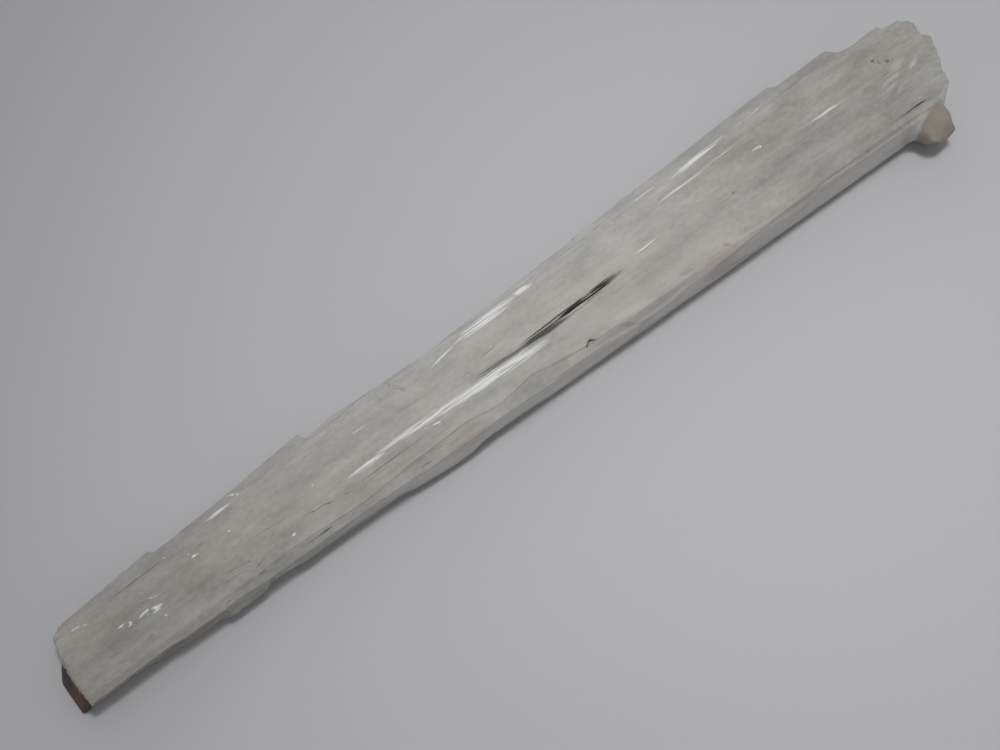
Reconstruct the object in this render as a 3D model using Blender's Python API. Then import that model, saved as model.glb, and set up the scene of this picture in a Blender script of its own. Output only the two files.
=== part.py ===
"""Scolecite crystal: a long bundle of parallel prisms, grown together into one solid.

The bundle fans out slowly from a narrow broken base, stained brown, to a wide broken tip that carries one
small rounded lump. It lies on its flat keel. Run with: blender --background --python part.py

While it is modelled, X runs along the bundle from the base, Y across it towards the back, and Z up from the
surface it lies on, all in millimetres. "Across" is a share of the fan's width: 0 is its front edge and 1 its
back edge. The finished crystal's origin is at the middle of the bottom of its box.
"""

import random
from collections import namedtuple

import bmesh
import bpy
import numpy
from mathutils import Matrix, Vector, noise
from mathutils.bvhtree import BVHTree

MM = 0.001

# Driving dimensions, in millimetres
LENGTH = 100.0
BASE_WIDTH = 7.2
TIP_WIDTH = 12.3
FRONT_AT_BASE = -3.7
FRONT_AT_TIP = -4.4
TOP_AT_BASE = 3.5
TOP_AT_MIDDLE = 5.5
TOP_AT_TIP = 6.0

# How high up a prism its sides stop leaning out, as a share of its height
WAIST = 0.42

SEED = 7

CRYSTAL_COLOUR = (0.80, 0.80, 0.76, 1.0)
CRYSTAL_ROUGHNESS = 0.25
CRYSTAL_IOR = 1.51
CRYSTAL_CLEARNESS = 0.6

# One prism of the bundle. Pairs are (at its start, at its end).
#   start, end     where it starts and ends along the bundle
#   front, back    its two sides, as shares across the fan
#   lift           its crest above the bundle's top line, in mm
#   floor          its underside above the surface, in mm
#   crest          where the crest is, as a share from its front side to its back side
#   drops          how far its front and back shoulders are below the crest, in mm
#   tuck           how much narrower its underside is, in front and at the back, in mm
#   start_cut,     how its broken end slants, in mm along the bundle: (from front to back, from bottom to top)
#   end_cut
Prism = namedtuple("Prism", "name start end front back lift floor crest drops tuck start_cut end_cut")

# What it rests on
KEEL = Prism("keel", 1.4, 96.0, (0.27, 0.24), (0.68, 0.66), (-1.1, -1.0), (0.0, 0.0),
             0.5, (0.3, 0.3), (0.4, 0.5), (0.4, 0.6), (1.2, -0.8))

PRISMS = [
    # The underside and the stained root
    Prism("under_front", 2.2, 90.0, (0.22, 0.12), (0.42, 0.42), (-1.2, -1.2), (0.22, 0.16),
          0.5, (0.3, 0.3), (0.3, 0.5), (0.4, 0.6), (1.2, -0.8)),
    Prism("under_back", 1.8, 93.5, (0.54, 0.56), (0.80, 0.82), (-1.2, -1.2), (0.30, 0.12),
          0.5, (0.3, 0.3), (0.5, 0.9), (0.4, 0.6), (1.2, -0.8)),
    Prism("under_ledge", 34.0, 71.0, (0.50, 0.54), (0.74, 0.72), (-1.6, -1.6), (0.08, 0.10),
          0.5, (0.3, 0.3), (0.2, 0.3), (0.9, 0.6), (1.2, -0.8)),
    Prism("root", 0.05, 17.0, (0.04, 0.10), (0.59, 0.52), (-0.55, -0.9), (0.05, 0.5),
          0.4, (0.1, 0.1), (0.15, 0.3), (0.1, 0.7), (0.5, 0.4)),
    # The base half
    Prism("lip_1", 0.45, 9.6, (-0.078, -0.030), (0.36, 0.38), (-0.10, -0.14), (2.0, 2.2),
          0.75, (0.20, 0.06), (0.9, 0.2), (0.0, 0.15), (1.6, 0.1)),
    Prism("lip_2", 6.8, 15.2, (-0.030, -0.025), (0.36, 0.34), (-0.18, -0.18), (2.2, 2.2),
          0.75, (0.25, 0.06), (0.9, 0.2), (1.8, 0.15), (2.6, 0.1)),
    Prism("face_front_1", 0.45, 30.0, (0.18, 0.20), (0.44, 0.42), (-0.03, -0.22), (1.5, 1.8),
          0.45, (0.08, 0.05), (0.3, 0.3), (0.05, 0.1), (1.8, 0.3)),
    Prism("face_middle_1", 0.60, 38.0, (0.40, 0.40), (0.66, 0.64), (-0.01, -0.20), (1.5, 1.8),
          0.50, (0.05, 0.05), (0.3, 0.3), (0.15, 0.1), (-1.4, 0.3)),
    Prism("face_back_1", 0.95, 33.0, (0.60, 0.62), (0.945, 0.90), (-0.04, -0.26), (1.5, 1.8),
          0.30, (0.05, 0.30), (0.3, 0.5), (0.55, 0.1), (-2.0, 0.4)),
    Prism("low_front", 10.6, 33.0, (0.020, -0.01), (0.30, 0.26), (-0.26, -0.60), (1.0, 0.9),
          0.62, (0.85, 0.05), (0.3, 0.3), (1.8, 0.1), (1.6, 0.3)),
    Prism("tab", 13.9, 17.3, (-0.075, -0.045), (0.22, 0.22), (-0.90, -1.05), (1.1, 1.1),
          0.80, (0.80, 0.1), (0.3, 0.2), (-1.1, 0.2), (-2.6, 0.3)),
    Prism("back_ledge_1", 1.6, 11.8, (0.72, 0.78), (1.00, 1.075), (-0.42, -0.42), (1.5, 1.7),
          0.55, (0.05, 0.30), (0.3, 0.4), (0.5, 0.3), (0.4, 0.1)),
    Prism("back_ledge_2", 9.5, 28.5, (0.76, 0.82), (0.975, 1.115), (-0.55, -0.70), (1.5, 1.6),
          0.5, (0.1, 0.40), (0.3, 0.5), (0.6, 0.2), (0.3, 0.2)),
    Prism("back_ledge_3", 22.0, 32.6, (0.74, 0.80), (0.96, 0.995), (-0.60, -0.60), (1.6, 1.6),
          0.4, (0.1, 0.5), (0.3, 0.5), (0.6, 0.2), (0.9, 0.2)),
    Prism("back_plate", 20.0, 37.9, (0.665, 0.69), (0.87, 0.955), (-0.26, 0.02), (2.0, 2.0),
          0.45, (0.10, 0.30), (0.2, 0.5), (-1.5, 0.2), (-1.9, 0.2)),
    # The middle
    Prism("front_low", 26.0, 62.5, (-0.015, -0.02), (0.24, 0.22), (-0.85, -1.15), (0.9, 0.8),
          0.75, (1.15, 0.05), (0.5, 0.3), (1.1, 0.3), (2.4, 0.6)),
    Prism("front_bulge", 33.0, 41.2, (-0.045, -0.060), (0.20, 0.20), (-1.7, -1.8), (0.9, 0.8),
          0.8, (0.5, 0.1), (0.4, 0.3), (-3.0, 0.3), (0.5, 0.2)),
    Prism("front_knot", 43.5, 48.0, (-0.030, -0.010), (0.20, 0.20), (-1.55, -1.5), (0.9, 0.8),
          0.7, (0.6, 0.1), (0.4, 0.3), (-1.0, 0.3), (-1.5, 0.4)),
    Prism("front_high", 14.5, 60.6, (0.105, 0.085), (0.32, 0.30), (-0.36, -0.40), (1.5, 1.5),
          0.40, (0.36, 0.05), (0.3, 0.3), (2.6, 0.5), (4.6, 0.6)),
    Prism("knot", 45.4, 48.8, (0.140, 0.120), (0.26, 0.25), (-0.40, -0.44), (2.0, 2.0),
          0.5, (0.2, 0.2), (0.2, 0.2), (-1.0, 0.2), (1.1, 0.4)),
    Prism("under_ridge", 16.0, 34.7, (0.185, 0.190), (0.34, 0.33), (-0.16, -0.12), (2.0, 2.0),
          0.75, (0.16, 0.05), (0.2, 0.2), (1.0, 0.2), (0.5, 0.2)),
    Prism("ridge", 28.8, 51.1, (0.262, 0.262), (0.352, 0.345), (0.02, 0.06), (2.2, 2.2),
          0.22, (0.24, 0.12), (0.1, 0.1), (0.8, 0.2), (0.3, 0.1)),
    Prism("ridge_step", 22.0, 46.5, (0.33, 0.335), (0.415, 0.42), (-0.12, -0.08), (2.2, 2.2),
          0.6, (0.06, 0.10), (0.1, 0.1), (0.5, 0.2), (-0.8, 0.2)),
    Prism("face_front_2", 27.0, 61.0, (0.19, 0.18), (0.42, 0.42), (-0.28, -0.20), (1.8, 1.8),
          0.45, (0.10, 0.06), (0.2, 0.2), (1.0, 0.3), (3.4, 0.6)),
    Prism("face_middle_2", 35.0, 72.0, (0.40, 0.40), (0.65, 0.66), (-0.22, -0.12), (1.6, 1.6),
          0.40, (0.05, 0.05), (0.2, 0.2), (0.9, 0.3), (2.6, 0.5)),
    Prism("face_back_2", 30.0, 80.0, (0.60, 0.62), (0.87, 0.86), (-0.16, -0.10), (1.6, 1.6),
          0.30, (0.05, 0.25), (0.2, 0.3), (0.8, 0.3), (2.2, 0.5)),
    Prism("back_step", 40.5, 57.0, (0.770, 0.775), (0.865, 0.86), (-0.06, -0.08), (2.2, 2.2),
          0.25, (0.08, 0.32), (0.1, 0.1), (0.6, 0.1), (0.3, 0.1)),
    Prism("back_bevel", 32.0, 78.5, (0.80, 0.80), (0.985, 1.025), (-0.34, -0.30), (1.4, 1.7),
          0.12, (0.1, 1.45), (0.3, 0.7), (1.4, 0.4), (1.0, 0.5)),
    # The tip half
    Prism("front_wall", 50.0, 97.0, (-0.022, 0.040), (0.36, 0.34), (-1.45, -0.80), (0.9, 0.8),
          0.55, (0.40, 0.06), (0.3, 0.3), (3.6, 0.6), (0.9, 0.4)),
    Prism("front_face", 56.0, 96.0, (0.02, 0.09), (0.32, 0.30), (-0.44, -0.50), (1.8, 1.6),
          0.60, (0.16, 0.05), (0.3, 0.3), (4.6, 0.4), (1.4, 0.6)),
    Prism("face_front_3", 58.0, 98.0, (0.22, 0.20), (0.43, 0.42), (-0.24, -0.38), (1.8, 1.6),
          0.55, (0.14, 0.05), (0.3, 0.3), (3.2, 0.5), (1.4, 0.5)),
    Prism("face_middle_3", 69.0, 98.5, (0.41, 0.40), (0.65, 0.64), (-0.16, -0.36), (1.8, 1.6),
          0.50, (0.05, 0.05), (0.3, 0.3), (2.6, 0.5), (0.8, 0.5)),
    Prism("face_back_3", 76.5, 97.5, (0.62, 0.62), (0.87, 0.86), (-0.16, -0.40), (1.8, 1.6),
          0.40, (0.05, 0.30), (0.3, 0.5), (2.2, 0.5), (-1.4, 0.5)),
    Prism("back_rim_1", 62.0, 85.0, (0.86, 0.89), (1.010, 1.055), (-0.72, -0.88), (1.8, 2.0),
          0.30, (0.1, 0.9), (0.3, 0.5), (1.0, 0.3), (0.2, 0.2)),
    Prism("back_rim_2", 74.0, 92.7, (0.80, 0.82), (1.015, 1.005), (-0.56, -0.66), (1.6, 1.7),
          0.25, (0.1, 1.15), (0.3, 0.6), (1.0, 0.3), (-1.5, 0.3)),
    Prism("back_sheet", 60.0, 89.0, (0.70, 0.72), (0.88, 0.90), (-0.20, -0.16), (2.0, 2.0),
          0.45, (0.10, 0.30), (0.2, 0.4), (1.5, 0.3), (-1.6, 0.3)),
]

# The broken tip: where it ends at each share across the fan, from front to back
TIP_OUTLINE = [
    (0.10, 97.3), (0.14, 98.5), (0.36, 99.8), (0.55, 100.5), (0.68, 100.8), (0.78, 100.1), (0.84, 98.2)
]
TIP_SHARDS = 15
TIP_SHARD_START = 84.0
TIP_TOP = -0.42
TIP_EDGE_DROP = 0.7

# Slender needles on every side: how many, how wide, how long and how far they stand out, in mm
TOP_NEEDLES = 64
FRONT_NEEDLES = 16
BACK_NEEDLES = 10
UNDER_NEEDLES = 16
NEEDLE_WIDTH = (0.35, 1.0)
NEEDLE_LENGTH = (9.0, 42.0)
NEEDLE_PROUD = (0.03, 0.10)
NEEDLE_DEPTH = 0.8
NEEDLE_END_SLOPES = (0.2, 1.0, 2.5, 5.0)
NEEDLE_CLEARANCE = 0.25
NEEDLES_FROM, NEEDLES_TO = 2.0, 97.0

LUMP_CENTRE = (95.6, -4.3, 2.6)
LUMP_SIZE = (2.0, 1.75, 1.85)
LUMP_ROUGHNESS = 0.32


def along(x):
    """The share of the length at x, from 0 at the base to 1 at the tip."""
    return x / LENGTH


def front_line(x):
    return FRONT_AT_BASE + (FRONT_AT_TIP - FRONT_AT_BASE) * along(x)


def width(x):
    return BASE_WIDTH + (TIP_WIDTH - BASE_WIDTH) * along(x)


def across_line(x, share):
    """The Y of a point at a share across the fan."""
    return front_line(x) + share * width(x)


def top_line(x):
    """A parabola through the three heights."""
    t = along(x)
    bow = TOP_AT_MIDDLE - (TOP_AT_BASE + TOP_AT_TIP) / 2
    return TOP_AT_BASE + (TOP_AT_TIP - TOP_AT_BASE) * t + 4 * bow * t * (1 - t)


def section(prism, end):
    """The (y, z) corners of a prism's cross-section, at its start (0) or its end (1)."""
    x = (prism.start, prism.end)[end]
    front = across_line(x, prism.front[end])
    back = across_line(x, prism.back[end])
    top = top_line(x) + prism.lift[end]
    floor = prism.floor[end]
    crest = front + prism.crest * (back - front)
    tuck_front, tuck_back = prism.tuck
    drop_front, drop_back = prism.drops
    waist = floor + WAIST * (top - floor)
    return [
        (front + tuck_front, floor),
        (back - tuck_back, floor),
        (back, waist),
        (back, top - drop_back),
        (crest, top),
        (front, top - drop_front),
        (front, waist),
    ]


def end_points(prism, end):
    """The section's corners in space, with the broken end slanted as the prism says."""
    x = (prism.start, prism.end)[end]
    slant_across, slant_up = (prism.start_cut, prism.end_cut)[end]
    outline = section(prism, end)
    lows = [min(point[axis] for point in outline) for axis in (0, 1)]
    highs = [max(point[axis] for point in outline) for axis in (0, 1)]
    points = []
    for y, z in outline:
        share_across = (y - lows[0]) / (highs[0] - lows[0]) - 0.5
        share_up = (z - lows[1]) / (highs[1] - lows[1]) - 0.5
        points.append(Vector((x + slant_across * share_across + slant_up * share_up, y, z)) * MM)
    return points


def mesh_object(name, shape, collection):
    mesh = bpy.data.meshes.new(name)
    shape.to_mesh(mesh)
    shape.free()
    obj = bpy.data.objects.new(name, mesh)
    obj.hide_render = True
    obj.display_type = "WIRE"
    collection.objects.link(obj)
    return obj


def make_bar(name, first_outline, last_outline, collection):
    """One closed bar: its first outline, extruded to its last one."""
    shape = bmesh.new()
    start = shape.faces.new([shape.verts.new(point) for point in first_outline])
    made = bmesh.ops.extrude_face_region(shape, geom=[start])["geom"]
    cap = next(item for item in made if isinstance(item, bmesh.types.BMFace))
    for vert, point in zip(cap.verts, last_outline):
        vert.co = point
    bmesh.ops.recalc_face_normals(shape, faces=shape.faces)
    return mesh_object(name, shape, collection)


def make_prism(prism, collection):
    return make_bar(prism.name, end_points(prism, 0), end_points(prism, 1), collection)


def make_tip(chance, collection):
    """A row of overlapping shards across the tip, each broken off at its own slant."""
    shares, reaches = zip(*TIP_OUTLINE)
    step = (shares[-1] - shares[0]) / (TIP_SHARDS - 1)
    for number in range(TIP_SHARDS):
        share = shares[0] + step * number
        front = share - step * chance.uniform(0.7, 1.2)
        back = share + step * chance.uniform(0.7, 1.2)
        edge_drop = TIP_EDGE_DROP * abs(2 * number / (TIP_SHARDS - 1) - 1) ** 3
        lift = TIP_TOP - edge_drop + chance.uniform(-0.10, 0.06)
        shard = Prism(
            name=f"tip_shard_{number}",
            start=TIP_SHARD_START + chance.uniform(-3.0, 5.0),
            end=float(numpy.interp(share, shares, reaches)) + chance.uniform(-0.25, 0.10),
            front=(front, front),
            back=(back, back),
            lift=(lift - 0.25, lift),
            floor=(1.2, 0.5 + chance.uniform(0.0, 0.5) + edge_drop),
            crest=chance.uniform(0.2, 0.8),
            drops=(chance.uniform(0.08, 0.30), chance.uniform(0.08, 0.30)),
            tuck=(0.2, 0.2),
            start_cut=(0.5, 0.3),
            end_cut=(chance.uniform(-0.5, 0.5), chance.uniform(-0.9, 0.3)),
        )
        make_prism(shard, collection)


def make_lump(collection):
    """The small rounded crystal that has grown onto the tip's front corner."""
    shape = bmesh.new()
    bmesh.ops.create_icosphere(shape, subdivisions=3, radius=1.0)
    for vert in shape.verts:
        dent = 1 + LUMP_ROUGHNESS * noise.noise(vert.co * 1.7)
        place = Vector(size * share for size, share in zip(LUMP_SIZE, vert.co)) * dent
        vert.co = (Vector(LUMP_CENTRE) + place) * MM
    return mesh_object("lump", shape, collection)


def make_needle(name, start, end, outward, chance, collection):
    """A slender roof-shaped bar, sunk in the surface between two points on it."""
    run = (end - start).normalized()
    across = run.cross(outward).normalized()
    half_width = chance.uniform(*NEEDLE_WIDTH) * MM / 2
    proud = chance.uniform(*NEEDLE_PROUD) * MM
    crest = chance.uniform(-0.7, 0.7) * half_width
    sunk = -NEEDLE_DEPTH * MM
    outline = [(-half_width, sunk), (half_width, sunk), (half_width, 0.0), (crest, proud), (-half_width, 0.0)]
    ends = []
    for point, inward in ((start, run), (end, -run)):
        slope = chance.choice(NEEDLE_END_SLOPES) * MM / (proud - sunk)
        ends.append([
            point + across * side + outward * rise + inward * slope * (rise - sunk) for side, rise in outline
        ])
    return make_bar(name, *ends, collection)


def scatter_needles(bundle, look, count, share_range, height_range, chance, collection):
    """Needles that follow the fan, on the side of the bundle that a ray along `look` strikes."""
    placed = 0
    while placed < count:
        length = chance.uniform(*NEEDLE_LENGTH)
        first = chance.uniform(NEEDLES_FROM, NEEDLES_TO - length)
        share = chance.uniform(*share_range)
        height = chance.uniform(*height_range)
        hits = []
        for x in (first, first + length):
            aim = Vector((x, across_line(x, share), height * top_line(x))) * MM
            hits.append(bundle.ray_cast(aim - look * LENGTH * MM, look)[:2])
        (start, outward), (end, _) = hits
        if start is None or end is None or abs(outward.x) > 0.5:
            continue
        if min(start.z, end.z) < NEEDLE_CLEARANCE * MM:
            continue
        make_needle(f"needle_{len(collection.objects)}", start, end, outward, chance, collection)
        placed += 1


def crystal_material():
    material = bpy.data.materials.new("scolecite")
    material.use_nodes = True
    shader = material.node_tree.nodes["Principled BSDF"]
    shader.inputs["Base Color"].default_value = CRYSTAL_COLOUR
    shader.inputs["Roughness"].default_value = CRYSTAL_ROUGHNESS
    shader.inputs["Metallic"].default_value = 0.0
    shader.inputs["IOR"].default_value = CRYSTAL_IOR
    shader.inputs["Transmission Weight"].default_value = CRYSTAL_CLEARNESS
    return material


def ray_target(collection):
    """The collection's meshes as one tree that rays can strike."""
    shape = bmesh.new()
    for obj in collection.objects:
        shape.from_mesh(obj.data)
    tree = BVHTree.FromBMesh(shape)
    shape.free()
    return tree


def grow_together(keel, collection):
    """The keel and everything in the collection as one solid's mesh."""
    union = keel.modifiers.new("grown_together", "BOOLEAN")
    union.operation = "UNION"
    union.operand_type = "COLLECTION"
    union.collection = collection
    depsgraph = bpy.context.evaluated_depsgraph_get()
    return bpy.data.meshes.new_from_object(keel.evaluated_get(depsgraph))


def shell_of(vert):
    """Every vertex that edges join to this one."""
    shell, fresh = {vert}, [vert]
    while fresh:
        reached = {edge.other_vert(old) for old in fresh for edge in old.link_edges}
        fresh = reached - shell
        shell |= fresh
    return shell


def fill_gaps(mesh):
    """Keep the outer shell alone: prisms that close a gap between them leave an inner one."""
    shape = bmesh.new()
    shape.from_mesh(mesh)
    outermost = max(shape.verts, key=lambda vert: vert.co.x)
    outside = shell_of(outermost)
    inside = [vert for vert in shape.verts if vert not in outside]
    bmesh.ops.delete(shape, geom=inside, context="VERTS")
    shape.to_mesh(mesh)
    shape.free()


def centre_on_its_base(mesh):
    """Put the origin at the middle of the bounding box's bottom."""
    corners = numpy.array([vert.co for vert in mesh.vertices])
    low, high = corners.min(axis=0), corners.max(axis=0)
    middle = (low + high) / 2
    mesh.transform(Matrix.Translation((-middle[0], -middle[1], -low[2])))


def main():
    for obj in list(bpy.data.objects):
        bpy.data.objects.remove(obj)
    chance = random.Random(SEED)
    grown = bpy.data.collections.new("grown_together")
    bpy.context.scene.collection.children.link(grown)

    keel = make_prism(KEEL, bpy.context.scene.collection)
    for prism in PRISMS:
        make_prism(prism, grown)
    make_tip(chance, grown)
    bundle = ray_target(grown)
    scatter_needles(bundle, Vector((0, 0, -1)), TOP_NEEDLES, (0.03, 0.97), (1.0, 1.0), chance, grown)
    scatter_needles(bundle, Vector((0, 1, 0)), FRONT_NEEDLES, (0.0, 0.0), (0.25, 0.8), chance, grown)
    scatter_needles(bundle, Vector((0, -1, 0)), BACK_NEEDLES, (1.0, 1.0), (0.25, 0.7), chance, grown)
    scatter_needles(bundle, Vector((0, 0, 1)), UNDER_NEEDLES, (0.04, 0.96), (0.0, 0.0), chance, grown)
    make_lump(grown)

    mesh = grow_together(keel, grown)
    for obj in [keel, *grown.objects]:
        bpy.data.objects.remove(obj)
    bpy.data.collections.remove(grown)
    fill_gaps(mesh)
    centre_on_its_base(mesh)
    mesh.materials.clear()
    mesh.materials.append(crystal_material())
    crystal = bpy.data.objects.new("crystal", mesh)
    bpy.context.scene.collection.objects.link(crystal)


main()
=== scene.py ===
"""Scolecite crystal: its fine surface, its finish and its stage, laid out as a Blender add-on.

The crystal lies along X with its narrow stained base at -X and its wide broken tip at +X. Y runs across it,
and Z up from the floor it lies on. Sizes are in metres, apart from those that say they are in millimetres.
"""

from collections import namedtuple
from math import cos, radians, sin

import bmesh
import bpy
import numpy as np
from bpy.props import FloatProperty, FloatVectorProperty, PointerProperty
from mathutils import Matrix, Vector, noise
from mathutils.bvhtree import BVHTree


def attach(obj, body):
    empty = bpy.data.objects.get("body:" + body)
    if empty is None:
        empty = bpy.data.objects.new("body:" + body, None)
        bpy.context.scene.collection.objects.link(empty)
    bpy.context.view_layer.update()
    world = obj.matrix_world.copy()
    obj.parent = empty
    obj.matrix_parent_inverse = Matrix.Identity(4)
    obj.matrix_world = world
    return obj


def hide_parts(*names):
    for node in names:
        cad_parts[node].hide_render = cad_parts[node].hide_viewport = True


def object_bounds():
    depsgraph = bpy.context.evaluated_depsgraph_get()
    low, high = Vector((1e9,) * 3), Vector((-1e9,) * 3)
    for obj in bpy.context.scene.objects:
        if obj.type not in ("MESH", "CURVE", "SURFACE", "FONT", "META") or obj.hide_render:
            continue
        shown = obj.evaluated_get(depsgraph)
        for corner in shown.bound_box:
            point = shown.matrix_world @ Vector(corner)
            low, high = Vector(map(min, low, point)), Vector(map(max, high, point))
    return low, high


bl_info = {
    "name": "Scolecite Crystal",
    "version": (1, 0, 0),
    "blender": (4, 5, 0),
    "location": "3D View > Sidebar > Scolecite",
    "description": "A long bundle of clear grey prisms with a silky surface, on a pale floor",
    "category": "Add Mesh",
}

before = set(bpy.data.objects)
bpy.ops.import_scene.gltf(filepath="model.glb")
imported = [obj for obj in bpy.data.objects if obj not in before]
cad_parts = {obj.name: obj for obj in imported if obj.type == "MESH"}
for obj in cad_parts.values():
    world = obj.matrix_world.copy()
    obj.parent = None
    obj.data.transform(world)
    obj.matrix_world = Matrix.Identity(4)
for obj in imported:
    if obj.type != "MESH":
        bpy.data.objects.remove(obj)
CAD_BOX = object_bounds()

MM = 0.001
MERGE_DISTANCE = 1e-7

# How relief is evened out: the grid of its levels, how many steps of that grid an average reaches, and how
# far from the even surface a point is still drawn to it
LEVEL_GRID = (0.0005, 0.00025, 0.00025)
LEVEL_REACH = 5
HELD_DEPTH = 0.0006
TOP_STEP, FRONT_STEP = 0.0006, 0.00025

# A point that faces away from the rays by more than this moves with what is above it
FACES_AWAY = 0.2

# The share of its relief that the top and the front lose
TOP_EVENED, FRONT_EVENED = 0.96, 0.8

# Parts of the top that lose less of it: (mm from the base), (shares of the width from the front), share lost
KEPT_RELIEF = (
    ((-5.0, 1.6), (-1.0, 2.0), 0.0),
    ((36.0, 40.0), (0.66, 2.0), 0.3),
    ((28.0, 51.8), (0.24, 0.37), 0.6),
)

# The strip along the back, whose relief is kept too: where it begins and is whole, and the mm where it ends
BACK_STRIP = (0.82, 0.90)
BACK_STRIP_KEEPS = 0.7
BACK_STRIP_END = 60.0

# The chips along the front end here, and the front's relief is evened out up to this share of the width
CHIPS_END = 24.0
FRONT_REACH = 0.12

# A groove along the front of the top that is smoothed away: mm from the base, shares of the width, and height
GROOVE = ((62.0, 73.0), (0.09, 0.21), 0.002)

# Shares of the width between which gaps stop being closed, so that the strips along the back stay apart
OPEN_BACK = (0.86, 0.92)

# How often the lump and the groove are smoothed, and the angle from which an edge is sharp
LUMP_ROUNDS, GROOVE_ROUNDS = 8, 24
SHARP_ANGLE = radians(20)

# The crystal isn't moved where it rests, and moves freely above this height
SEAT_HEIGHT = 0.0008

# The scales of the slow noise (per metre) and of the fine ridges (along, across and up). Without a seed, the
# slow noise would be a different one in each run.
SLOW_SCALE = (90.0, 220.0, 220.0)
RIDGE_SCALE = (0.06, 17.0, 1400.0)
SLOW_SEED = 1

# The fan of prisms, in mm: it widens from the base to the tip, and its front side turns away a little.
TO_BASE = Vector((50.367, 0.807))
LENGTH = 100.0
BASE_WIDTH, TIP_WIDTH = 7.2, 12.3
BASE_FRONT, TIP_FRONT = -3.7, -4.4

# The rounded lump at the tip, in mm from the origin
LUMP_CENTRE = (45.3, -5.2, 2.5)
LUMP_SIZE = (2.5, 2.1, 2.6)

# How many times that size it reaches where it is smoothed, and where the top and the front keep their relief
LUMP_SMOOTHED, LUMP_ON_TOP, LUMP_IN_FRONT = 1.2, 1.1, 1.3

# A mark's two ends are (mm from the base, share of the width from the front), and its width is in mm. It is a
# long ellipse, whose half length is this share of the run between its ends and a little more.
Mark = namedtuple("Mark", "start end width strength")
MARK_REACH = 0.56
CRACKS = (
    Mark((43.4, 0.395), (50.5, 0.378), 0.75, 0.65),
    Mark((47.8, 0.378), (55.8, 0.385), 0.95, 0.85),
    Mark((52.0, 0.388), (60.6, 0.425), 1.00, 1.0),
    Mark((48.0, 0.412), (60.8, 0.455), 0.26, 0.9),
)
DARK_LINES = (
    Mark((24.0, 0.290), (29.2, 0.200), 0.14, 0.8),
    Mark((45.4, 0.551), (47.2, 0.552), 0.16, 0.9),
    Mark((63.4, 0.466), (65.4, 0.474), 0.14, 0.7),
    Mark((35.0, 0.009), (36.2, -0.002), 0.18, 0.7),
    Mark((6.6, 0.850), (13.0, 0.852), 0.20, 0.9),
    Mark((29.0, 0.225), (38.0, 0.235), 0.12, 0.7),
    Mark((37.0, 0.964), (38.5, 0.682), 0.14, 0.8),
    Mark((3.8, 0.272), (5.4, 0.235), 0.16, 0.8),
    Mark((14.6, 0.714), (16.4, 0.711), 0.15, 0.6),
    Mark((43.5, 0.386), (43.8, 0.560), 0.12, 0.5),
    Mark((26.7, 0.480), (26.8, 0.340), 0.10, 0.35),
    Mark((18.0, 0.058), (18.4, 0.056), 0.30, 0.8),
    Mark((74.0, 0.413), (74.5, 0.413), 0.22, 0.9),
    Mark((93.9, 0.660), (94.3, 0.640), 0.36, 1.0),
    Mark((94.7, 0.600), (94.8, 0.640), 0.34, 1.0),
    Mark((95.1, 0.582), (95.4, 0.570), 0.38, 1.0),
    Mark((95.6, 0.560), (96.2, 0.553), 0.34, 1.0),
    Mark((1.3, 0.041), (3.6, 0.000), 0.12, 0.6),
    Mark((15.2, 0.300), (19.2, 0.213), 0.12, 0.7),
    Mark((15.3, 0.203), (17.6, 0.168), 0.12, 0.6),
    Mark((14.2, -0.030), (14.6, 0.030), 0.16, 0.8),
    Mark((14.4, 0.020), (15.6, -0.030), 0.12, 0.6),
    Mark((19.4, 0.430), (23.3, 0.372), 0.10, 0.5),
    Mark((7.4, 0.190), (8.0, 0.180), 0.18, 0.7),
    Mark((18.1, 0.130), (19.3, 0.168), 0.14, 0.7),
)
# Painted highlights: glinting streaks along the ridge and the back edge; the last three are the pale veils at
# the tip
GLINTS_AND_TIP_VEILS = (
    Mark((29.2, 0.328), (33.6, 0.331), 0.60, 1.0),
    Mark((32.4, 0.368), (44.0, 0.322), 0.95, 0.9),
    Mark((38.0, 0.335), (51.4, 0.290), 1.30, 1.0),
    Mark((41.2, 0.758), (45.8, 0.835), 0.32, 0.9),
    Mark((45.0, 0.822), (51.4, 0.836), 1.30, 1.0),
    Mark((51.6, 0.858), (53.8, 0.845), 0.55, 0.9),
    Mark((63.0, 0.478), (65.6, 0.488), 0.26, 1.0),
    Mark((71.0, 0.868), (77.8, 0.905), 0.70, 1.0),
    Mark((67.0, 0.735), (78.2, 0.766), 0.34, 1.0),
    Mark((79.0, 0.900), (83.0, 0.925), 0.28, 0.7),
    Mark((82.8, 0.536), (89.0, 0.519), 0.26, 0.8),
    Mark((32.0, 0.690), (34.4, 0.680), 0.28, 0.8),
    Mark((17.2, 0.912), (19.8, 0.902), 0.60, 0.9),
    Mark((2.8, 0.840), (4.2, 0.764), 0.24, 0.9),
    Mark((44.6, 0.800), (49.0, 0.812), 0.40, 1.0),
    Mark((66.6, 0.905), (69.2, 0.908), 0.35, 0.9),
    Mark((91.6, 0.320), (96.8, 0.548), 1.50, 0.24),
    Mark((96.2, 0.410), (98.4, 0.480), 0.60, 0.30),
    Mark((93.4, 0.290), (96.0, 0.390), 0.80, 0.16),
)
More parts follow.
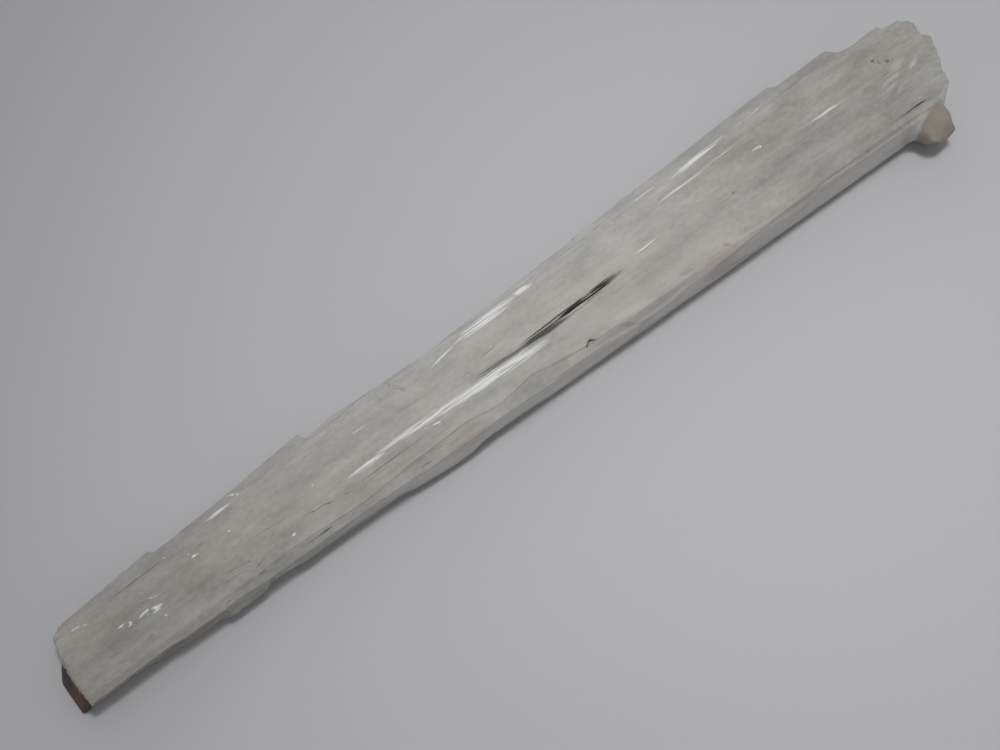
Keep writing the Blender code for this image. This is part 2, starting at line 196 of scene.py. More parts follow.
# Painted highlights: small bright sparkles, placed one by one
SPARKLES = (
    Mark((6.2, 0.497), (7.2, 0.449), 0.75, 1.0),
    Mark((8.4, 0.458), (10.1, 0.410), 0.95, 1.0),
    Mark((9.7, 0.291), (9.9, 0.291), 0.35, 1.0),
    Mark((14.6, 0.660), (15.2, 0.655), 0.30, 1.0),
    Mark((22.6, 0.190), (22.9, 0.192), 0.32, 1.0),
    Mark((38.4, 0.265), (38.9, 0.255), 0.32, 1.0),
    Mark((78.6, 0.621), (79.6, 0.610), 0.30, 1.0),
    Mark((94.5, 0.180), (95.0, 0.186), 0.60, 1.0),
    Mark((26.1, 0.501), (26.6, 0.500), 0.28, 1.0),
    Mark((9.6, 0.563), (10.5, 0.513), 0.26, 1.0),
    Mark((20.4, 1.020), (21.2, 0.930), 0.36, 1.0),
)
VEILS = (
    Mark((60.0, 0.200), (92.0, 0.240), 2.6, 0.35),
    Mark((52.0, 0.180), (61.0, 0.240), 1.6, 0.5),
)
SILKY = (
    Mark((24.0, 0.33), (56.0, 0.31), 3.0, 1.0),
    Mark((38.0, 0.80), (88.0, 0.86), 4.0, 1.0),
    Mark((60.0, 0.46), (92.0, 0.52), 2.4, 0.5),
)
BLUSHES = (
    Mark((67.5, 0.890), (70.0, 0.890), 0.9, 1.0),
    Mark((38.5, -0.060), (42.0, -0.060), 1.4, 0.7),
    Mark((67.0, 0.030), (71.5, 0.045), 1.0, 0.7),
    Mark((70.3, 0.631), (71.2, 0.631), 0.5, 1.0),
)

# The edge of the band along the front that is painted darker as shade, where the front bevel faces away from
# the light: (share of the length, tenths of the width from the front)
SHADED_FRONT_BAND = (
    (0.0, 0.2), (0.21, 0.9), (0.29, 0.5), (0.34, 0.87), (0.407, 1.15),
    (0.44, 0.68), (0.482, 1.2), (0.50, 0.9), (0.54, 0.43), (0.573, 0.37),
    (0.60, -0.2), (0.636, -0.3), (0.738, 0.25), (0.87, 0.65), (1.0, 0.7),
)

# Noise patterns: cycles per mm along each axis (across the bundle: per tenth of its width), detail, roughness
HAIR = ((0.16, 5.5, 4.0), 2.0, 0.6)
REEDS = ((0.05, 1.6, 1.2), 1.0, 0.5)
STRIPES = ((0.22, 6.5, 1.0), 1.0, 0.5)
SHAKE = ((0.7, 2.4, 1.0), 2.0, 0.6)
CLOUDS = ((0.18, 0.45, 0.45), 3.0, 0.6)
TINT = ((0.08, 0.18, 0.18), 1.0, 0.5)
DUST = ((1.6, 2.6, 2.6), 1.0, 0.5)

# Cells with one speck each at most, in the same way, and how far the shake moves a mark's edge
SPECK_CELLS = (0.8, 1.4, 1.1)
RAGGED = (2.0, 0.22, 0.0)

# Where each light stands, what it shines at, and its side
Light = namedtuple("Light", "place target size")
LAMP = Light(Vector((0.036, -0.036, 0.50)), Vector((0.018, -0.014, 0.0)), 0.14)
WINDOW = Light(Vector((0.45, 1.35, 0.50)), Vector((0.0, 0.0, 0.0)), 0.80)
SKY_COLOUR = (0.95, 0.96, 1.0, 1.0)
CAMERA_TARGET = Vector((-3.937, -1.182, 3.0)) * MM
LIGHT_PATHS = {"max_bounces": 4, "diffuse_bounces": 2, "glossy_bounces": 2, "transmission_bounces": 4}


def along_and_across(x, y):
    """How far along the fan a place is, in mm from the base, and its share of the width from the front."""
    along = x + TO_BASE.x
    front = BASE_FRONT + (TIP_FRONT - BASE_FRONT) / LENGTH * along
    width = BASE_WIDTH + (TIP_WIDTH - BASE_WIDTH) / LENGTH * along
    return along, (y + TO_BASE.y - front) / width


# ---------------------------------------------------------------- settings


class CrystalShape(bpy.types.PropertyGroup):
    """How fine and how even the crystal's surface is."""

    cell_size: FloatProperty(
        name="Cell", description="Width of a cell of its surface's net", default=0.00015, unit="LENGTH"
    )
    cell_stretch: FloatProperty(name="Cell stretch", description="Length of a cell in widths", default=2.0)
    closed_gap: FloatProperty(
        name="Closed gap", description="Widest gap that is closed", default=0.0007, unit="LENGTH"
    )
    striation_height: FloatProperty(
        name="Striation height", description="Height of a fine ridge", default=0.000030, unit="LENGTH"
    )
    waviness: FloatProperty(
        name="Waviness", description="How far its faces are out of true", default=0.00007, unit="LENGTH"
    )


def colour_property(name, description, red, green, blue):
    return FloatVectorProperty(
        name=name,
        description=description,
        default=(red, green, blue, 1.0),
        subtype="COLOR",
        size=4,
        min=0.0,
        max=1.0,
    )


class CrystalFinish(bpy.types.PropertyGroup):
    """The crystal's colours, among them those of its painted light and shade, and how it lets light through.
    """

    clear_colour: colour_property("Clear", "Colour of the clear parts", 0.95, 0.94, 0.91)
    cool_shade: colour_property("Cool shade", "Darker haze, where it is greenish", 0.50, 0.490, 0.450)
    warm_shade: colour_property("Warm shade", "Darker haze, where it is brownish", 0.51, 0.480, 0.435)
    cool_milk: colour_property("Cool milk", "Lighter haze, where it is greenish", 0.83, 0.815, 0.765)
    warm_milk: colour_property("Warm milk", "Lighter haze, where it is pinkish", 0.845, 0.810, 0.755)
    # The colour of the painted glints and sparkles, and of the pale veils at the tip
    glint_colour: colour_property("Glint", "Colour of its silvery streaks", 0.95, 0.95, 0.95)
    crack_colour: colour_property("Crack", "Colour inside the dark crack", 0.016, 0.020, 0.018)
    # The speck colour also colours the painted shade on the sides that face the front near the base
    speck_and_shade_colour: colour_property("Speck", "Colour of its specks and thin dark lines", 0.16, 0.13, 0.10)
    blush_colour: colour_property("Blush", "Colour of its few reddish spots", 0.62, 0.36, 0.28)
    # The base's stain: its rim is lighter as painted light from above, and rust and stain below are darkened
    # as painted shade on the end face
    rim_lit_colour: colour_property("Rim", "Colour of the broken edge at the base", 0.50, 0.34, 0.23)
    rust_in_shade_colour: colour_property("Rust", "Lighter colour of the base's stain", 0.10, 0.038, 0.018)
    stain_in_shade_colour: colour_property("Stain", "Darker colour of the base's stain", 0.024, 0.019, 0.018)
    crust_colour: colour_property("Crust", "Colour of the lump at the tip", 0.345, 0.305, 0.250)
    # The lump's underside, darkened as painted shade
    crust_shade: colour_property("Crust shade", "Colour of the lump's underside", 0.22, 0.155, 0.12)
    refraction: FloatProperty(name="Refraction", description="Index of refraction", default=1.51)
    roughness: FloatProperty(
        name="Roughness", description="Roughness of its faces", default=0.12, subtype="FACTOR"
    )
    milkiness: FloatProperty(
        name="Milkiness", description="How cloudy it is", default=0.62, subtype="FACTOR"
    )
    milk_depth: FloatProperty(
        name="Milk depth", description="How far light spreads in cloudy parts", default=0.0009, unit="LENGTH"
    )
    absorption: FloatProperty(
        name="Absorption", description="How much light a metre of it takes", default=14.0
    )


class StageSettings(bpy.types.PropertyGroup):
    """The floor, the lights and the camera."""

    floor_size: FloatProperty(name="Floor", description="Side of the floor", default=3.0, unit="LENGTH")
    floor_colour: colour_property("Floor colour", "Colour of the floor", 0.60, 0.60, 0.61)
    sky_strength: FloatProperty(name="Sky", description="Strength of the light from all round", default=0.318)
    window_power: FloatProperty(
        name="Window", description="Power of the light behind", default=1.6, unit="POWER"
    )
    lamp_power: FloatProperty(
        name="Lamp", description="Power of the light above", default=0.027, unit="POWER"
    )
    lamp_spread: FloatProperty(
        name="Lamp spread", description="How wide the lamp shines", default=radians(17.0), subtype="ANGLE"
    )
    camera_height: FloatProperty(
        name="Height", description="Its angle above the floor", default=radians(62.0), subtype="ANGLE"
    )
    camera_heading: FloatProperty(
        name="Heading", description="Its turn about the crystal", default=radians(37.86), subtype="ANGLE"
    )
    camera_distance: FloatProperty(
        name="Distance", description="Camera to the point it aims at", default=0.211179, unit="LENGTH"
    )
    lens: FloatProperty(name="Lens", description="Focal length in mm", default=85.0, unit="CAMERA")


# ---------------------------------------------------------------- shader maths


class Field:
    """A value in a node tree. Python's operators on it add Math nodes."""

    def __init__(self, recipe, socket):
        self.recipe = recipe
        self.socket = socket

    def math(self, operation, *others, clamp=False):
        settings = {"operation": operation, "use_clamp": clamp}
        return self.recipe.add("Math", settings, dict(enumerate((self, *others))))

    def __add__(self, other):
        return self.math("ADD", other)

    def __radd__(self, other):
        return self.math("ADD", other)

    def __sub__(self, other):
        return self.math("SUBTRACT", other)

    def __rsub__(self, other):
        return self.recipe.number(other).math("SUBTRACT", self)

    def __mul__(self, other):
        return self.math("MULTIPLY", other)

    def __rmul__(self, other):
        return self.math("MULTIPLY", other)

    def __truediv__(self, other):
        return self.math("DIVIDE", other)

    def __abs__(self):
        return self.math("ABSOLUTE")

    def larger(self, other):
        return self.math("MAXIMUM", other)

    def clamped(self):
        return self.math("ADD", 0.0, clamp=True)

    def ramp(self, low, high, out_low=0.0, out_high=1.0):
        """Runs smoothly from out_low at low to out_high at high, and is flat beyond them."""
        backwards = low > high
        if backwards:
            low, high, out_low, out_high = high, low, out_high, out_low
        inputs = {"Value": self, "From Min": low, "From Max": high, "To Min": out_low, "To Max": out_high}
        return self.recipe.add("MapRange", {"interpolation_type": "SMOOTHSTEP"}, inputs)


class Recipe:
    """A material and its node tree."""

    def __init__(self, name):
        self.material = bpy.data.materials.new(name)
        self.material.use_nodes = True
        self.tree = self.material.node_tree
        self.tree.nodes.clear()

    def add(self, kind, settings, inputs, output=0):
        """A node of this kind, with its settings made first and then its sockets filled or linked."""
        node = self.tree.nodes.new("ShaderNode" + kind)
        for name, value in settings.items():
            if name == "stops":
                self.set_stops(node.color_ramp.elements, value)
            else:
                setattr(node, name, value)
        for name, value in inputs.items():
            if isinstance(value, Field):
                self.tree.links.new(value.socket, node.inputs[name])
            else:
                node.inputs[name].default_value = value
        return Field(self, node.outputs[output]) if node.outputs else None

    def set_stops(self, stops, heights):
        """Gives a ramp these (position, grey) stops."""
        while len(stops) < len(heights):
            stops.new(1.0)
        for stop, (position, grey) in zip(stops, heights):
            stop.position = position
            stop.color = (grey, grey, grey, 1.0)

    def number(self, value):
        return self.add("Math", {"operation": "ADD"}, {0: value, 1: 0.0})

    def place(self):
        """The point's place on the object, in millimetres."""
        place = self.add("TexCoord", {}, {}, "Object")
        return self.add("VectorMath", {"operation": "SCALE"}, {0: place, "Scale": 1 / MM})

    def vector(self, x, y, z):
        return self.add("CombineXYZ", {}, {"X": x, "Y": y, "Z": z})

    def offset(self, place, amount, direction):
        """The place moved along a direction by how far the amount is from a half."""
        step = self.add("VectorMath", {"operation": "SCALE"}, {0: direction, "Scale": amount - 0.5})
        return self.add("VectorMath", {"operation": "ADD"}, {0: place, 1: step})

    def axes(self, place):
        return [self.add("SeparateXYZ", {}, {"Vector": place}, axis) for axis in range(3)]

    def stretched(self, place, scale):
        return self.add("VectorMath", {"operation": "MULTIPLY"}, {0: place, 1: scale})

    def noise(self, place, scale, detail, roughness):
        """Noise of about 0 to 1."""
        inputs = {
            "Vector": self.stretched(place, scale),
            "Scale": 1.0,
            "Detail": detail,
            "Roughness": roughness,
        }
        return self.add("TexNoise", {"noise_dimensions": "3D"}, inputs, "Fac")

    def cells(self, place, scale):
        """How far a place is from the nearest of many scattered points, and that point's two chances."""
        inputs = {"Vector": self.stretched(place, scale), "Scale": 1.0}
        distance = self.add("TexVoronoi", {"voronoi_dimensions": "3D", "feature": "F1"}, inputs, "Distance")
        cell = Field(self, distance.socket.node.outputs["Color"])
        return distance, *self.axes(cell)[:2]

    def spot(self, place, centre, half_sizes, edge):
        """1 inside an ellipsoid, 0 outside it, with a soft edge."""
        inputs = {"Vector": place, "Location": centre, "Scale": half_sizes}
        inside = self.add("Mapping", {"vector_type": "TEXTURE"}, inputs)
        distance = self.add("VectorMath", {"operation": "LENGTH"}, {0: inside}, "Value")
        return distance.ramp(1.0, edge)

    def dot(self, place, weights):
        return self.add("VectorMath", {"operation": "DOT_PRODUCT"}, {0: place, 1: weights}, "Value")

    def stroke(self, flat, middle, run, half_sizes, edge, strength):
        """The strength inside a long ellipse, 0 outside it, with a soft edge. The flat place is (x, y, 1)."""
        ahead = run.normalized()
        reaches = []
        for axis, half in zip((ahead, Vector((-ahead.y, ahead.x))), half_sizes):
            reaches.append(self.dot(flat, (*(axis / half), -axis.dot(middle) / half)))
        apart = reaches[0] * reaches[0] + reaches[1] * reaches[1]
        return apart.ramp(1.0, edge * edge, 0.0, strength)

    def mix(self, factor, first, second):
        """The first colour where the factor is 0 and the second where it is 1."""
        return self.add("Mix", {"data_type": "RGBA"}, {0: factor, 6: first, 7: second}, 2)

    def profile(self, value, points):
        """A line through these (0 to 1, height) points, read at the value."""
        lowest = min(height for _, height in points)
        reach = max(height for _, height in points) - lowest
        stops = [(position, (height - lowest) / reach) for position, height in points]
        return self.add("ValToRGB", {"stops": stops}, {"Fac": value}, "Color") * reach + lowest

    def finish(self, **shaders):
        """The material, with these shaders as its surface and, where it has one, its volume."""
        self.add("OutputMaterial", {}, {name.title(): shader for name, shader in shaders.items()})
        return self.material


# ---------------------------------------------------------------- materials


def bundle_place(recipe, place):
    """The place along the fan of prisms: mm from the base, tenths of the width from the front, and height."""
    x, y, z = recipe.axes(place)
    along, across = along_and_across(x, y)
    return recipe.vector(along, across * 10, z), along, across, z


def marked(recipe, flat, marks, edge):
    """Each mark's strength on these marks and 0 elsewhere. The flat place is (mm along, tenths across, 1)."""
    whole = None
    for mark in marks:
        start, end = [Vector((along, share * 10)) for along, share in (mark.start, mark.end)]
        run = end - start
        middle = (start + end) / 2
        half_sizes = (run.length * MARK_REACH + mark.width / 4, mark.width / 2)
        spot = recipe.stroke(flat, middle, run, half_sizes, edge, mark.strength)
        whole = whole.larger(spot) if whole else spot
    return whole


def crystal_material(finish):
    """Clear and milky crystal in one, stained at the base, with cracks, veils and specks, painted glints and
    sparkles, and painted light and shade.
    """
    recipe = Recipe("scolecite")
    place = recipe.place()
    bundle, along, across, z = bundle_place(recipe, place)

    facing = recipe.axes(recipe.add("TexCoord", {}, {}, "Normal"))[1]
    front_side = facing.ramp(-0.35, -0.75)
    hair, reeds, stripes, shake = [recipe.noise(bundle, *kind) for kind in (HAIR, REEDS, STRIPES, SHAKE)]
    clouds, tint, dust = [recipe.noise(place, *kind) for kind in (CLOUDS, TINT, DUST)]

    # The marks: cracks, thin lines, specks, veils and reddish spots, and painted highlights: sparkles and
    # glinting streaks
    flat = recipe.vector(along, across * 10, 1.0)
    ragged = recipe.offset(flat, shake, RAGGED)
    cracks = marked(recipe, ragged, CRACKS, 0.45)
    crack_lines = cracks * hair.ramp(0.66, 0.57) * stripes.ramp(0.66, 0.56)
    lines = marked(recipe, ragged, DARK_LINES, 0.3)
    dashes = hair.ramp(0.64, 0.73) * along.ramp(75.0, 55.0, 0.3, 1.0)
    distance, speck_chance, sparkle_chance = recipe.cells(bundle, SPECK_CELLS)
    specks = distance.ramp(0.13, 0.07) * speck_chance.ramp(0.17, 0.15)
    specks = specks * along.ramp(70.0, 30.0, 0.15, 1.0)
    # Painted highlights: sparkles scattered over the base half
    sparkles = distance.ramp(0.12, 0.06) * sparkle_chance.ramp(0.10, 0.08)
    sparkles = sparkles * along.ramp(62.0, 25.0, 0.1, 1.0)
    sparkles = sparkles.larger(marked(recipe, ragged, SPARKLES, 0.2) * shake.ramp(0.43, 0.51))
    # Painted highlights: glinting streaks, with the pale veils at the tip
    streaks = marked(recipe, ragged, GLINTS_AND_TIP_VEILS, 0.3)
    glint_and_veil_cover = streaks * stripes.ramp(0.42, 0.53, 0.15, 1.0)
    veils = marked(recipe, ragged, VEILS, 0.1)
    blush = marked(recipe, ragged, BLUSHES, 0.0)

    # The haze: darker at the base and the tip, with a grain along the prisms, painted shade on the band along
    # the front and painted light on the sides that face the front
    silk = marked(recipe, flat, SILKY, 0.0)
    grain = (hair - 0.5) * 0.5 + (reeds - 0.5) * 0.4
    tone = along.ramp(4.0, 46.0, 0.39, 0.92) - along.ramp(60.0, 86.0, 0.0, 0.48)
    tone = tone + grain * (silk * 0.6 + 0.30) + (clouds - 0.5) * 0.65 + (dust - 0.5) * 0.55
    tone = tone + veils * 0.7
    front = across * 10 - recipe.profile(along / LENGTH, SHADED_FRONT_BAND)
    from_line = abs(front).ramp(0.12, 0.03) * along.ramp(20.0, 22.0)
    # Painted shade: the band along the front is made darker
    tone = tone - front.ramp(0.08, -0.08) * 0.30
    # Painted light: the sides that face the front are made lighter from 20 mm towards the tip
    tone = tone + front_side * along.ramp(20.0, 56.0, 0.0, 0.8)
    shade = recipe.mix(tint.ramp(0.38, 0.62), finish.cool_shade, finish.warm_shade)
    light = recipe.mix(tint.ramp(0.40, 0.60), finish.cool_milk, finish.warm_milk)
    colour = recipe.mix(tone.clamped(), shade, light)
    colour = recipe.mix(blush * 0.28, colour, finish.blush_colour)

    # The skin that isn't see-through: the lump, the stained base, with its rim painted lit and its end face
    # painted in shade, and the marks, with painted shade on the front sides near the base
    lump = recipe.spot(place, LUMP_CENTRE, LUMP_SIZE, edge=0.85)
    near_base = along + (shake - 0.5) * 0.6
    # Painted light and shade on the stained base: its top rim is lighter and its end face below is darker
    rim = near_base.ramp(0.80, 0.55)
    root = rim * (z + (shake - 0.5) * 0.8).ramp(3.05, 2.80) * across.ramp(0.66, 0.58)
    thin_marks_and_shade = (dashes * 0.4).larger(specks * 0.75).larger(lines).larger(from_line * 0.35)
    # Painted shade: the sides that face the front are made dark near the base
    thin_marks_and_shade = thin_marks_and_shade.larger(front_side * along.ramp(24.0, 4.0) * 0.75)
    # Painted shade: the lump is darker towards its underside
    crust = recipe.mix((z + (shake - 0.5) * 1.5).ramp(0.9, 2.6), finish.crust_shade, finish.crust_colour)
    shaded_rust = recipe.mix(clouds.ramp(0.42, 0.58), finish.stain_in_shade_colour, finish.rust_in_shade_colour)
    skin = recipe.mix(rim, finish.speck_and_shade_colour, finish.rim_lit_colour)
    # Painted glints and sparkles, and the pale veils at the tip, in the glint colour
    skin = recipe.mix(streaks.larger(sparkles) * 4.0, skin, finish.glint_colour)
    skin = recipe.mix(crack_lines, skin, finish.crack_colour)
    skin = recipe.mix(lump, skin, crust)
    skin = recipe.mix(root, skin, shaded_rust)
    solid = (thin_marks_and_shade * 0.8).larger(glint_and_veil_cover * 0.9).larger(sparkles).larger(crack_lines)
    solid = solid.larger(lump).larger(rim * 0.7).larger(root).clamped()

    # Clear and milky crystal in one, under that skin
    haze = (finish.milkiness + (clouds - 0.5) * 0.3 + (hair - 0.5) * 0.1).clamped()
    rough = finish.roughness + (hair - 0.5) * 0.08
    bumps = recipe.add("Bump", {}, {"Height": hair * 0.5 + reeds, "Strength": 0.3, "Distance": 0.00005})

    clear = recipe.add("BsdfPrincipled", {}, {
        "Base Color": finish.clear_colour,
        "Roughness": rough,
        "IOR": finish.refraction,
        "Transmission Weight": 1.0,
        "Normal": bumps,
    })
    milky = recipe.add("BsdfPrincipled", {}, {
        "Base Color": colour,
        "Roughness": rough + 0.06,
        "IOR": finish.refraction,
        "Subsurface Weight": 1.0,
        "Subsurface Radius": (1.0, 1.0, 0.95),
        "Subsurface Scale": finish.milk_depth,
        "Normal": bumps,
    })
    plain = recipe.add("BsdfPrincipled", {}, {
        "Base Color": skin,
        "Roughness": rough + 0.15 + lump * 0.4 + root * 0.3,
        "IOR": finish.refraction,
        "Normal": bumps,
    })
    surface = recipe.add("MixShader", {}, {0: haze, 1: clear, 2: milky})
    surface = recipe.add("MixShader", {}, {0: solid, 1: surface, 2: plain})
    depths = recipe.add("VolumeAbsorption", {}, {"Color": finish.clear_colour, "Density": finish.absorption})
    return recipe.finish(surface=surface, volume=depths)


def floor_material(stage):
    recipe = Recipe("floor")
    paper = recipe.add("BsdfPrincipled", {}, {"Base Color": stage.floor_colour, "Roughness": 0.55})
    return recipe.finish(surface=paper)


# ---------------------------------------------------------------- meshes


def merged_copy(node):
    """A CAD node's mesh with its loose triangles joined."""
    shape = bmesh.new()
    shape.from_mesh(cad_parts[node].data)
    bmesh.ops.remove_doubles(shape, verts=shape.verts, dist=MERGE_DISTANCE)
    return shape


def mesh_object(name, shape):
    mesh = bpy.data.meshes.new(name)
    shape.to_mesh(mesh)
    shape.free()
    piece = bpy.data.objects.new(name, mesh)
    bpy.context.scene.collection.objects.link(piece)
    return piece


def bundle_share(point):
    return along_and_across(point.x / MM, point.y / MM)


def rise(value, low, high):
    """0 up to low, 1 from high, and a straight line between them."""
    return min(1.0, max(0.0, (value - low) / (high - low)))


def within(value, ends):
    return ends[0] < value < ends[1]


def apply_modifiers(piece):
    """Turns the piece's modifiers into its mesh."""
    depsgraph = bpy.context.evaluated_depsgraph_get()
    mesh = bpy.data.meshes.new_from_object(piece.evaluated_get(depsgraph))
    piece.modifiers.clear()
    piece.data = mesh


def net_over(piece, settings):
    """Covers the piece with an even, fine net of faces, whose cells are longer along the crystal."""
    flat = Matrix.Diagonal((1 / settings.cell_stretch, 1.0, 1.0, 1.0))
    piece.data.transform(flat)
    net = piece.modifiers.new("net", "REMESH")
    net.mode = "VOXEL"
    net.voxel_size = settings.cell_size
    apply_modifiers(piece)
    piece.data.transform(flat.inverted())


def swollen(piece, amount):
    """Moves each point of the piece out from its surface, apart from those along its back."""
    shape = bmesh.new()
    shape.from_mesh(piece.data)
    shape.normal_update()
    for vert in shape.verts:
        _, share = bundle_share(vert.co)
        vert.co += vert.normal * amount * (1.0 - rise(share, *OPEN_BACK))
    shape.to_mesh(piece.data)
    shape.free()


def grow_together(piece, settings):
    """Nets the piece and closes the narrow gaps between its prisms."""
    net_over(piece, settings)
    swollen(piece, settings.closed_gap / 2)
    net_over(piece, settings)
    swollen(piece, -settings.closed_gap / 2)


class Relief:
    """The level of the surface that rays along `look` strike, on a grid, and the even surface it lies on."""

    def __init__(self, shape, look, step):
        self.tree = BVHTree.FromBMesh(shape)
        self.look = look
        self.facing = max(range(3), key=lambda axis: abs(look[axis]))
        self.sides = (0, 3 - self.facing)
        self.low = Vector(CAD_BOX[0])
        reach = Vector(CAD_BOX[1]) - self.low
        level = np.full([int(reach[axis] / LEVEL_GRID[axis]) + 2 for axis in self.sides], np.nan)
        for cell in np.ndindex(level.shape):
            place = self.low.copy()
            for axis, count in zip(self.sides, cell):
                place[axis] += count * LEVEL_GRID[axis]
            level[cell] = self.struck(place)
        for _ in range(2):
            level = self.evened(level, step)
        self.level = level

    def struck(self, point):
        """The level at which the ray that passes through a point strikes first."""
        start = point.copy()
        start[self.facing] = -self.look[self.facing]
        hit = self.tree.ray_cast(start, self.look)[0]
        return hit[self.facing] if hit else np.nan

    def evened(self, level, step):
        """Each level's average with those around it, in which one more than a step away counts little."""
        columns, rows = level.shape
        padded = np.pad(level, LEVEL_REACH, constant_values=np.nan)
        total = np.zeros_like(level)
        weights = np.zeros_like(level)
        for column, row in np.ndindex(2 * LEVEL_REACH + 1, 2 * LEVEL_REACH + 1):
            near = padded[column:column + columns, row:row + rows]
            apart = ((column - LEVEL_REACH) ** 2 + (row - LEVEL_REACH) ** 2) / (LEVEL_REACH ** 2 / 2)
            weight = np.nan_to_num(np.exp(-apart - ((near - level) / step) ** 2))
            total += weight * np.nan_to_num(near)
            weights += weight
        return np.divide(total, weights, out=np.full_like(level, np.nan), where=weights > 0)

    def under(self, point):
        """The even surface's level at a point, from the grid points round it, or None."""
        first, second = [(point[axis] - self.low[axis]) / LEVEL_GRID[axis] for axis in self.sides]
        column, row = int(first), int(second)
        total = weights = 0.0
        for cell in ((column, row), (column + 1, row), (column, row + 1), (column + 1, row + 1)):
            level = self.level[cell]
            if level == level:
                weight = (1 - abs(first - cell[0])) * (1 - abs(second - cell[1])) + 1e-6
                total += weight * level
                weights += weight
        return total / weights if weights else None


def quieten_relief(shape, look, step, quietness):
    """Draws the points of a side towards the even surface they lie on, by a share that depends on the place.

    The underside of an overhang moves with what is above it, so that the overhang stays as thick as it is.
    """
    relief = Relief(shape, look, step)
    facing = relief.facing
    shape.normal_update()
    for vert in shape.verts:
        even = relief.under(vert.co)
        if even is None or abs(even - vert.co[facing]) > 2 * HELD_DEPTH:
            continue
        top = vert.co[facing]
        if vert.normal.dot(look) > FACES_AWAY:
            struck = relief.struck(vert.co)
            top = struck if struck == struck else top
        hold = 1.0 - rise(abs(even - vert.co[facing]) / HELD_DEPTH, 1.0, 2.0)
        vert.co[facing] += (even - top) * hold * quietness(vert.co)


def in_lump(point, times):
    apart = [(place / MM - middle) / half for place, middle, half in zip(point, LUMP_CENTRE, LUMP_SIZE)]
    return Vector(apart).length < times


def front_quietness(point):
    """How far the front is evened out: not where it has chips, and not on the lump."""
    along, share = bundle_share(point)
    if along < CHIPS_END or share > FRONT_REACH or in_lump(point, LUMP_IN_FRONT):
        return 0.0
    return FRONT_EVENED


def top_quietness(point):
    """How far the top is evened out: least at the root, the plate's end, the ridge and the back strip."""
    along, share = bundle_share(point)
    if in_lump(point, LUMP_ON_TOP):
        return 0.0
    for reach, shares, lost in KEPT_RELIEF:
        if within(along, reach) and within(share, shares):
            return lost
    if along < BACK_STRIP_END:
        return TOP_EVENED - BACK_STRIP_KEEPS * rise(share, *BACK_STRIP)
    return TOP_EVENED


def anywhere(point):
    return True


def on_lump(point):
    return in_lump(point, LUMP_SMOOTHED)


def in_groove(point):
    along, share = bundle_share(point)
    reach, shares, height = GROOVE
    return within(along, reach) and within(share, shares) and point.z > height


def smooth(shape, chosen, rounds):
    """Draws the points in the chosen places towards their neighbours."""
    near = [vert for vert in shape.verts if chosen(vert.co)]
    every_way = {"use_axis_x": True, "use_axis_y": True, "use_axis_z": True}
    for _ in range(rounds):
        bmesh.ops.smooth_vert(shape, verts=near, factor=0.5, **every_way)


def grow_striations(shape, settings):
    """Moves each point by slow noise, so that no face is quite flat, and by fine ridges along the prisms."""
    low, high = CAD_BOX
    noise.seed_set(SLOW_SEED)
    shape.normal_update()
    for vert in shape.verts:
        along, share = bundle_share(vert.co)
        seat = min(1.0, vert.co.z / SEAT_HEIGHT)
        slow = noise.noise_vector(vert.co * Vector(SLOW_SCALE)) * settings.waviness
        ridges = Vector((along, share, vert.co.z)) * Vector(RIDGE_SCALE)
        push = vert.normal * noise.noise(ridges) * settings.striation_height * seat
        vert.co += Vector((0.0, slow.y + push.y, slow.z * seat + push.z))
        for axis in range(3):
            vert.co[axis] = min(max(vert.co[axis], low[axis]), high[axis])


# ---------------------------------------------------------------- operators


class AddCrystal(bpy.types.Operator):
    """Make the crystal's fine surface from its solid, and give it its finish"""

    bl_idname = "scolecite.add_crystal"
    bl_label = "Crystal"

    def execute(self, context):
        settings = context.scene.crystal_shape
        piece = mesh_object("crystal_bundle", merged_copy("crystal"))
        grow_together(piece, settings)
        shape = bmesh.new()
        shape.from_mesh(piece.data)
        quieten_relief(shape, Vector((0, 1, 0)), FRONT_STEP, front_quietness)
        quieten_relief(shape, Vector((0, 0, -1)), TOP_STEP, top_quietness)
        smooth(shape, anywhere, 1)
        smooth(shape, on_lump, LUMP_ROUNDS)
        smooth(shape, in_groove, GROOVE_ROUNDS)
        grow_striations(shape, settings)
        shape.to_mesh(piece.data)
        shape.free()
        piece.data.materials.clear()
        piece.data.materials.append(crystal_material(context.scene.crystal_finish))
        piece.data.shade_smooth()
        piece.data.set_sharp_from_angle(angle=SHARP_ANGLE)
        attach(piece, "root")
        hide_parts("crystal")
        return {"FINISHED"}


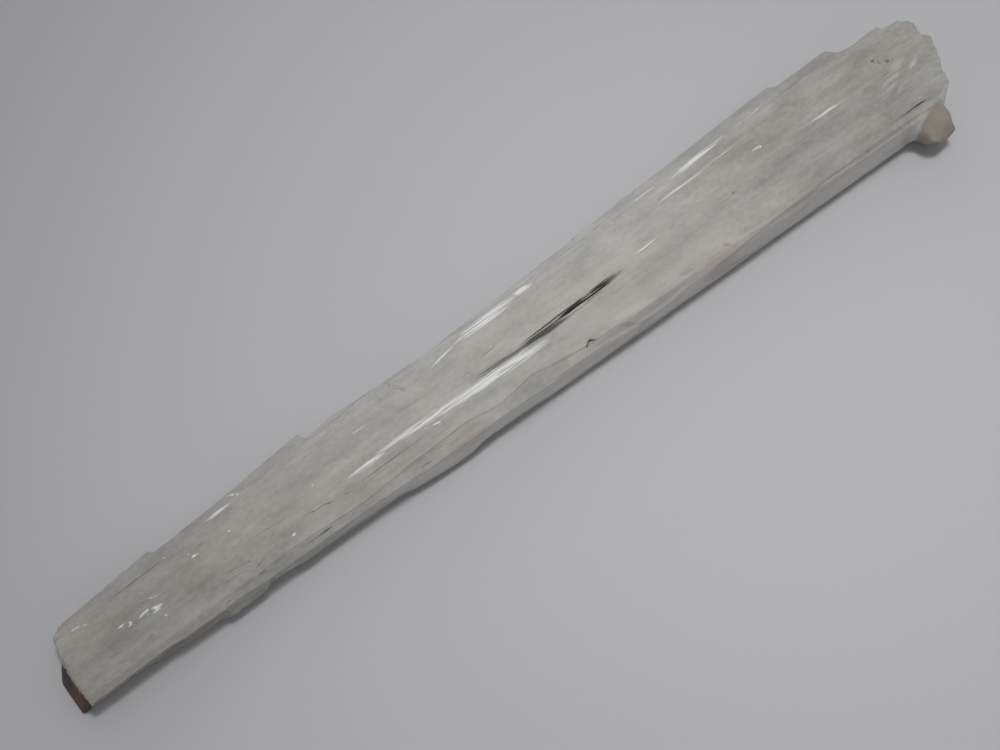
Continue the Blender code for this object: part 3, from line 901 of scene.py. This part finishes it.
class AddStage(bpy.types.Operator):
    """Lay the floor and set the lights and the camera"""

    bl_idname = "scolecite.add_stage"
    bl_label = "Stage"

    def execute(self, context):
        stage = context.scene.stage_settings
        shape = bmesh.new()
        bmesh.ops.create_grid(shape, x_segments=1, y_segments=1, size=stage.floor_size / 2)
        floor = mesh_object("floor", shape)
        floor.data.materials.append(floor_material(stage))
        self.add_sky(context.scene, stage)
        lamp = self.add_light("lamp", LAMP, stage.lamp_power)
        lamp.spread = stage.lamp_spread
        self.add_light("window", WINDOW, stage.window_power)
        self.add_camera(context.scene, stage)
        return {"FINISHED"}

    def add_sky(self, scene, stage):
        scene.world = bpy.data.worlds.new("sky")
        scene.world.use_nodes = True
        sky = scene.world.node_tree.nodes["Background"]
        sky.inputs["Color"].default_value = SKY_COLOUR
        sky.inputs["Strength"].default_value = stage.sky_strength
        scene.view_settings.view_transform = "Standard"
        for name, bounces in LIGHT_PATHS.items():
            setattr(scene.cycles, name, bounces)

    def add_light(self, name, light, power):
        """A square light that no face mirrors and that isn't seen through the crystal."""
        source = bpy.data.lights.new(name, "AREA")
        source.size = light.size
        source.energy = power
        holder = bpy.data.objects.new(name, source)
        holder.location = light.place
        holder.visible_glossy = False
        holder.visible_transmission = False
        holder.rotation_euler = (light.target - light.place).to_track_quat("-Z", "Y").to_euler()
        bpy.context.scene.collection.objects.link(holder)
        return source

    def add_camera(self, scene, stage):
        camera = bpy.data.cameras.new("camera")
        camera.lens = stage.lens
        camera.sensor_width = 36.0
        camera.clip_start = 0.005
        holder = bpy.data.objects.new("camera", camera)
        level = Vector((sin(stage.camera_heading), cos(stage.camera_heading), 0))
        ahead = level * cos(stage.camera_height) - Vector((0, 0, sin(stage.camera_height)))
        holder.location = CAMERA_TARGET - ahead * stage.camera_distance
        holder.rotation_euler = ahead.to_track_quat("-Z", "Y").to_euler()
        scene.collection.objects.link(holder)
        scene.camera = holder


class CrystalPanel(bpy.types.Panel):
    """The crystal's pieces and settings in the sidebar"""

    bl_idname = "VIEW3D_PT_scolecite"
    bl_label = "Scolecite Crystal"
    bl_space_type = "VIEW_3D"
    bl_region_type = "UI"
    bl_category = "Scolecite"

    def draw(self, context):
        for group in [getattr(context.scene, name) for name in GROUPS]:
            column = self.layout.column()
            for name in group.bl_rna.properties.keys():
                if name not in ("rna_type", "name"):
                    column.prop(group, name)
        for operator in STEPS:
            self.layout.operator(operator.bl_idname)


STEPS = (AddCrystal, AddStage)
GROUPS = {
    "crystal_shape": CrystalShape,
    "crystal_finish": CrystalFinish,
    "stage_settings": StageSettings,
}
CLASSES = (*GROUPS.values(), *STEPS, CrystalPanel)


def register():
    for cls in CLASSES:
        bpy.utils.register_class(cls)
    for name, group in GROUPS.items():
        setattr(bpy.types.Scene, name, PointerProperty(type=group))


def unregister():
    for name in GROUPS:
        delattr(bpy.types.Scene, name)
    for cls in reversed(CLASSES):
        bpy.utils.unregister_class(cls)


def main():
    register()
    bpy.ops.scolecite.add_crystal()
    bpy.ops.scolecite.add_stage()


if __name__ == "__main__":
    main()
